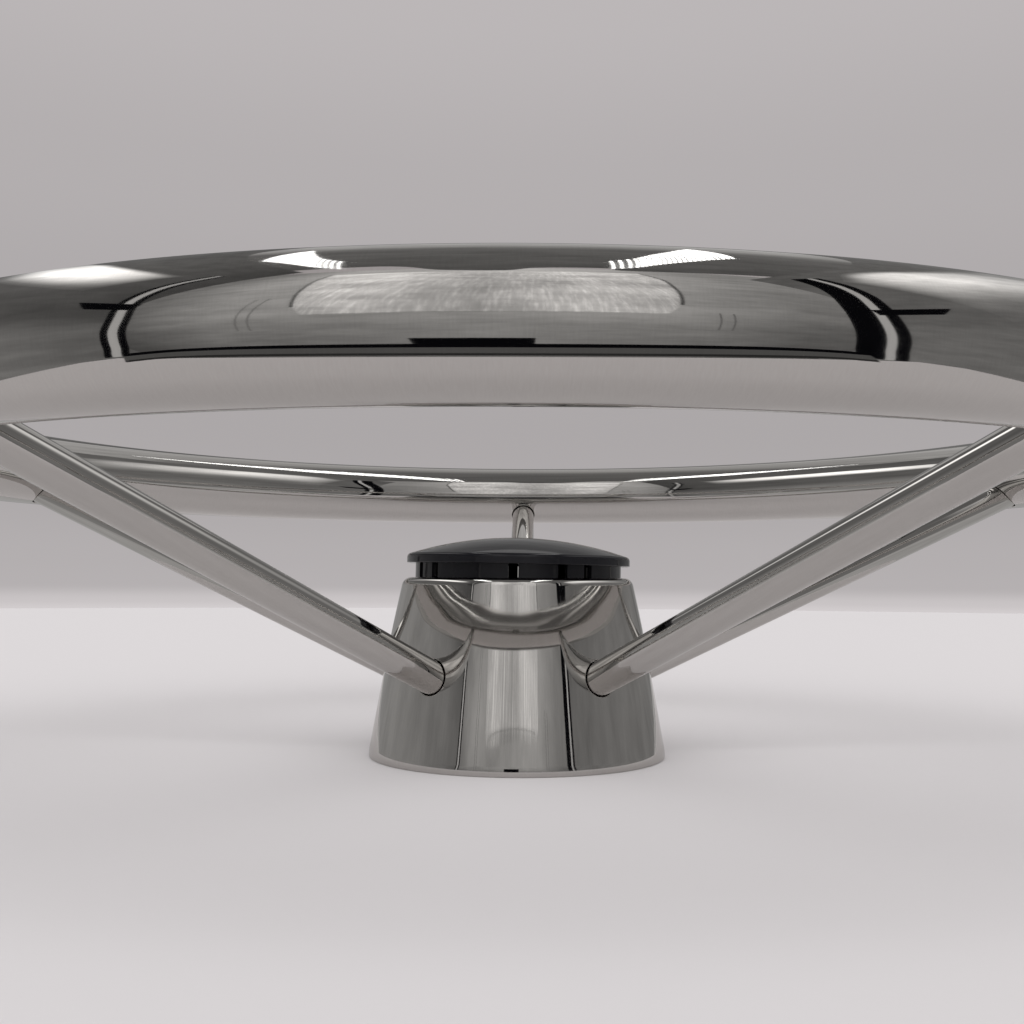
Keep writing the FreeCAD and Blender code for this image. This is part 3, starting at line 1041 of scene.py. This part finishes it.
def make_walls(cloth):
    """The side walls with their lit zones, the back wall, and the table beside the board."""
    even_shares = (1,) * 13
    # Each wall's place, its front edge, its level, how much brighter its foot is, and its front's shares.
    walls = {
        "left": (left_wall, -425, left_wall_level, 2.0, (0.5, 0.5, 0.85)),
        "right": (right_wall, -560, right_wall_level, 1.25, (0.85, 0.85, 0.9)),
    }
    for side, (x, front, level, foot, front_shares) in walls.items():
        heights = ((-400, foot), (110, foot), (260, 1.0), (650, 1.0), (850, 0.9), (room_height, 0.9))
        rows = [([(x, front, z), (x, room_back, z)], level * share) for z, share in heights]
        lit_sheet("wall_" + side, rows, cloth, along=front_shares + even_shares)
    bright_band(
        "lit_left", cloth, x=left_wall + 2, half_height=36, above=40, below=110,
        level=2.2, wall_level=left_wall_level, along=(0, 0.7, 1, 0.5, 0.1, 0),
        centre=[(-210, 590), (-40, 598), (180, 582), (400, 522), (600, 390), (790, 230)],
    )
    bright_band(
        "lit_right", cloth, x=right_wall - 2, half_height=45, above=90, below=330,
        level=1.5, wall_level=right_wall_level, along=(0, 0.65, 0.9, 0.5, 0.15, 0.05, 0),
        centre=[(-300, 640), (-130, 760), (60, 760), (280, 680), (500, 600), (720, 480), (900, 330)],
    )
    back = [
        ([(left_wall, room_back, z), (right_wall, room_back, z)], level)
        for z, level in ((0, 0.4), (200, 0.3), (room_height, 0.2))
    ]
    lit_sheet("wall_back", back, cloth)
    table_level = 0.42
    table_height = -1
    for side, inner, outer in (
        ("left", -board_half_width, left_wall), ("right", board_half_width, right_wall),
    ):
        rows = [
            ([(x, board_front_corner, table_height), (x, room_back, table_height)], table_level)
            for x in (inner, outer)
        ]
        lit_sheet("table_" + side, rows, cloth)


def make_front(cloth):
    """What lies in front of the wheel, behind the camera: a pale flap of cloth, and shade below it."""
    y = room_front
    before_flap = y + 2
    behind_flap = y - 20
    far_half_width = 900
    far = []
    for z, level in (
        (-600, 0.14), (0, 0.24), (120, 0.31), (190, 0.36), (420, 0.38), (900, 0.5), (1700, 0.55),
    ):
        far.append(([(-far_half_width, behind_flap, z), (far_half_width, behind_flap, z)], level))
    lit_sheet("front_far", far, cloth, along=(0.5, 0.5, 1.05, 1.1, 1.35, 1.12, 0.68, 0.6, 0.6))

    left_seam = [(-288, 250), (-308, 400), (-342, 617), (-383, 850), (-440, 1200)]
    right_seam = [(215, 267), (233, 433), (252, 617), (276, 850), (290, 1200)]
    left_edge = [(-252, 147), (-268, 158)] + left_seam
    right_edge = [(168, 147), (192, 158)] + right_seam
    levels = (0.42, 0.66, 0.68, 0.68, 0.72, 0.84, 0.95)
    flap = [
        ([(x_left, y, z_left), (x_right, y, z_right)], level)
        for (x_left, z_left), (x_right, z_right), level in zip(left_edge, right_edge, levels)
    ]
    # Shares of brightness across the flap: painted light and shade of its folds.
    fold_shading = (0.85, 1.0, 1.04, 0.8, 0.58, 0.66, 0.82, 0.96, 0.88, 0.8)
    lit_sheet("front_flap", flap, cloth_glow("flap_cloth", (190, 150), 0.28, 0.8), along=fold_shading)

    facing = (0, 1, 0)
    seam_half_width = 3
    hem_half_width = 0.4
    fold_half_width = 1.5
    seam = plain_grey("front_seam", 0.07)
    for side, places in (("left", left_seam), ("right", right_seam)):
        path = [(x, before_flap, z) for x, z in places]
        ribbon("seam_" + side, path, -seam_half_width, seam_half_width, facing, seam)
    # A faint grey for the flap's hem, and for the dark lines down its folds, which are painted shade in
    # their creases.
    faint = plain_grey("faint_seam_and_fold_shade", 0.15)
    hem = [(-245, before_flap, 153), (165, before_flap, 153)]
    ribbon("flap_hem", hem, -hem_half_width, hem_half_width, facing, faint)
    for side, x, top in (
        ("far_left", -372, 400), ("left", -350, 400), ("right", 262, 180), ("far_right", 283, 180),
    ):
        path = [(x, before_flap, -17), (x, before_flap, top)]
        ribbon("fold_" + side, path, -fold_half_width, fold_half_width, facing, faint)


def make_frames(black):
    """The two dark posts at the front corners, each with a pale stripe and a strap."""
    pale = plain_grey("frame_pale", 0.5)
    way = (-1, 0, 0)
    # Each post's place, how far its stripe, its outer side and its inner side reach, and its (y, z) line.
    posts = {
        "left": (left_wall + 14, 7, 20, 18.5, [
            (-370, -130), (-403, -50), (-422, 60), (-421, 200), (-375, 375), (-323, 540), (-290, 700),
        ]),
        "right": (right_wall - 13, 10, 75, 37, [
            (-439, -239), (-492, -124), (-527, 30), (-537, 200), (-511, 379), (-452, 550),
            (-389, 701), (-331, 863),
        ]),
    }
    for side, (x, stripe, outer, inner, places) in posts.items():
        path = [(x, y, z) for y, z in places]
        ribbon("post_pale_" + side, path, -stripe, stripe, way, pale)
        ribbon("post_outer_" + side, path, stripe, outer, way, black)
        ribbon("post_inner_" + side, path, -inner, -stripe, way, black)
    straps = {
        "left": (left_wall + 20, [(-415, 258), (-337, 272), (-298, 326), (-415, 312)]),
        "right": (right_wall - 16, [(-530, 268), (-395, 297), (-352, 360), (-530, 333)]),
    }
    for side, (x, corners) in straps.items():
        card("strap_" + side, [(x, y, z) for y, z in corners], black)


def make_sill(black):
    """The dark edge at the front of the board that the wheel stands on, and the block beyond it."""
    up = (0, 0, 1)
    line_width = 20
    shade_width = 25
    joint_width = 9
    edge = [
        (-184, -260), (-169, -275), (-150, -283), (-110, -289),
        (0, -291), (110, -291), (150, -285), (172, -272),
    ]
    path = [(x, y, 1) for x, y in edge]
    ribbon("sill_line", path, 0, line_width, up, black)
    ribbon("sill_shade", path, -shade_width, 0, up, plain_grey("sill_shade", 0.1))
    joint_far = -shade_width - joint_width
    ribbon("sill_joint", path, joint_far, -shade_width, up, plain_grey("sill_joint", 0.03))
    block = [(-41.5, -5), (11, -5), (11, 31), (-41.5, 31)]
    card("sill_block", [(x, -300, z) for x, z in block], black)


def make_surroundings():
    """The light tent round the wheel, as the polished metal shows it: glowing sheets whose levels paint the
    tent's light and shade.
    """
    cloth = cloth_glow("wall_cloth", (120, 70), 0.15)
    black, _ = glow("frame_black", (0.003, 0.003, 0.004))
    make_ceiling(cloth)
    make_walls(cloth)
    make_front(cloth)
    make_frames(black)
    make_sill(black)


def floor_material(name, colour):
    """Matt pale cloth."""
    material, _, shader = node_shader(name)
    shader.inputs["Base Color"].default_value = (*colour, 1)
    shader.inputs["Roughness"].default_value = 0.9
    shader.inputs["Specular IOR Level"].default_value = 0.0
    return material


def make_floor():
    """The pale floor, and the board that the metal shows in its place, a darker copy of the floor's cloth as
    painted shade. Returns the floor's edge.
    """
    floor_sides = 96
    board_height = 0.05
    around = [
        (floor_reach * math.cos(a), floor_reach * math.sin(a))
        for a in np.linspace(0, 2 * math.pi, floor_sides + 1)[:-1]
    ]
    pale = floor_material("floor", (0.70, 0.675, 0.685))
    card("floor", [(x, y, 0) for x, y in around], pale, unseen_in_metal)
    outline = [
        (-203, -176), (-196, -235), (-183, -254), (-160, -252), (-110, -252),
        (110, -254), (165, -250), (186, -246), (200, -222), (203, -176),
        (board_half_width, room_back), (-board_half_width, room_back),
    ]
    # The board is the floor's cloth painted darker: painted shade on the floor that the metal mirrors.
    board = floor_material("board", (0.57, 0.545, 0.55))
    card("board", [(x, y, board_height) for x, y in outline], board)
    return around


def make_backdrop(around):
    """The pale backdrop round the floor's edge, darkest a little way up."""
    places_between = 8
    ring = around[::places_between]
    ring.append(ring[0])
    backdrop, emission = glow("backdrop", backdrop_tint)
    tree = backdrop.node_tree
    tree.links.new(sheet_level(tree), emission.inputs["Strength"])
    heights = (
        (0, 0.64), (15, 0.58), (45, 0.46), (95, 0.45), (210, 0.42),
        (350, 0.41), (560, 0.425), (820, 0.45), (1230, 0.50), (3000, 0.50),
    )
    rows = [([(x, y, z) for x, y in ring], level) for z, level in heights]
    lit_sheet("backdrop", rows, backdrop, unseen_by=no_light_or_shadow)


def background(tree, colour, strength):
    """A plain colour of the world."""
    node = add_node(tree, "Background")
    node.inputs["Color"].default_value = (*colour, 1)
    node.inputs["Strength"].default_value = strength
    return node.outputs["Background"]


def make_world():
    """Pale behind the wheel, also in metal and glass, and soft even light on it."""
    world = bpy.data.worlds.new("surroundings")
    bpy.context.scene.world = world
    world.use_nodes = True
    tree = world.node_tree
    tree.nodes.clear()
    path = add_node(tree, "LightPath")
    pale = background(tree, (0.52, 0.49, 0.50), 1.0)
    light = background(tree, (1, 0.99, 0.985), 0.64)
    seen = path.outputs["Is Camera Ray"]
    for ray in ("Is Glossy Ray", "Is Transmission Ray"):
        seen = add_node(tree, "Math", seen, path.outputs[ray], operation="MAXIMUM").outputs["Value"]
    mixed = add_node(tree, "MixShader", seen, light, pale)
    add_node(tree, "OutputWorld", mixed.outputs["Shader"])


def make_lamps():
    """One broad soft lamp from above the camera, which the metal doesn't mirror."""
    data = bpy.data.lights.new("soft_lamp", "SUN")
    data.energy = 1.6
    data.angle = math.radians(100)
    lamp = add_object("soft_lamp", data)
    lamp.rotation_euler = (math.radians(40), 0, 0)
    lamp.visible_glossy = False


def make_camera():
    """The camera at the photograph's viewpoint."""
    yaw = math.radians(camera_yaw_deg)
    pitch = math.radians(camera_pitch_deg)
    roll = math.radians(camera_roll_deg)
    forward = Vector((math.sin(yaw) * math.cos(pitch), math.cos(yaw) * math.cos(pitch), math.sin(pitch)))
    level_right = Vector((math.cos(yaw), -math.sin(yaw), 0))
    level_up = level_right.cross(forward)
    right = math.cos(roll) * level_right + math.sin(roll) * level_up
    up = right.cross(forward)
    data = bpy.data.cameras.new("camera")
    data.sensor_width = sensor_width
    data.lens = focal_pixels / image_width * sensor_width
    data.clip_start = nearest_seen
    data.clip_end = farthest_seen
    camera = add_object("camera", data)
    matrix = Matrix((right, up, -forward)).transposed().to_4x4()
    matrix.translation = camera_place
    camera.matrix_world = matrix
    bpy.context.scene.camera = camera


def main():
    """Everything, from the materials to the camera."""
    # Each steel's radius, the width and length of its polishing strokes, and the length of its waves.
    rim_steel = polished_steel("rim_steel", rim_centre_radius, 0.35 * MM, 2.5 * MM, 9 * MM)
    spoke_steel = polished_steel("spoke_steel", rim_centre_radius / 2, 0.4 * MM, 12 * MM, 9 * MM)
    hub_steel = polished_steel("hub_steel", hub_base_radius, 0.35 * MM, 8 * MM, 6 * MM)
    turned = turned_steel()
    plastic = black_plastic()
    make_rim(rim_steel)
    make_hub_cone(hub_steel)
    for number in range(1, spoke_count + 1):
        make_spoke(number, spoke_steel)
    for node in ("hub_web", "hub_boss", "lock_washer", "shaft_nut"):
        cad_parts[node].data.materials.clear()
        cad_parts[node].data.materials.append(turned)
    make_centre_cap(plastic)
    make_surroundings()
    make_backdrop(make_floor())
    make_world()
    make_lamps()
    make_camera()
    bpy.context.scene.view_settings.view_transform = "Standard"


main()
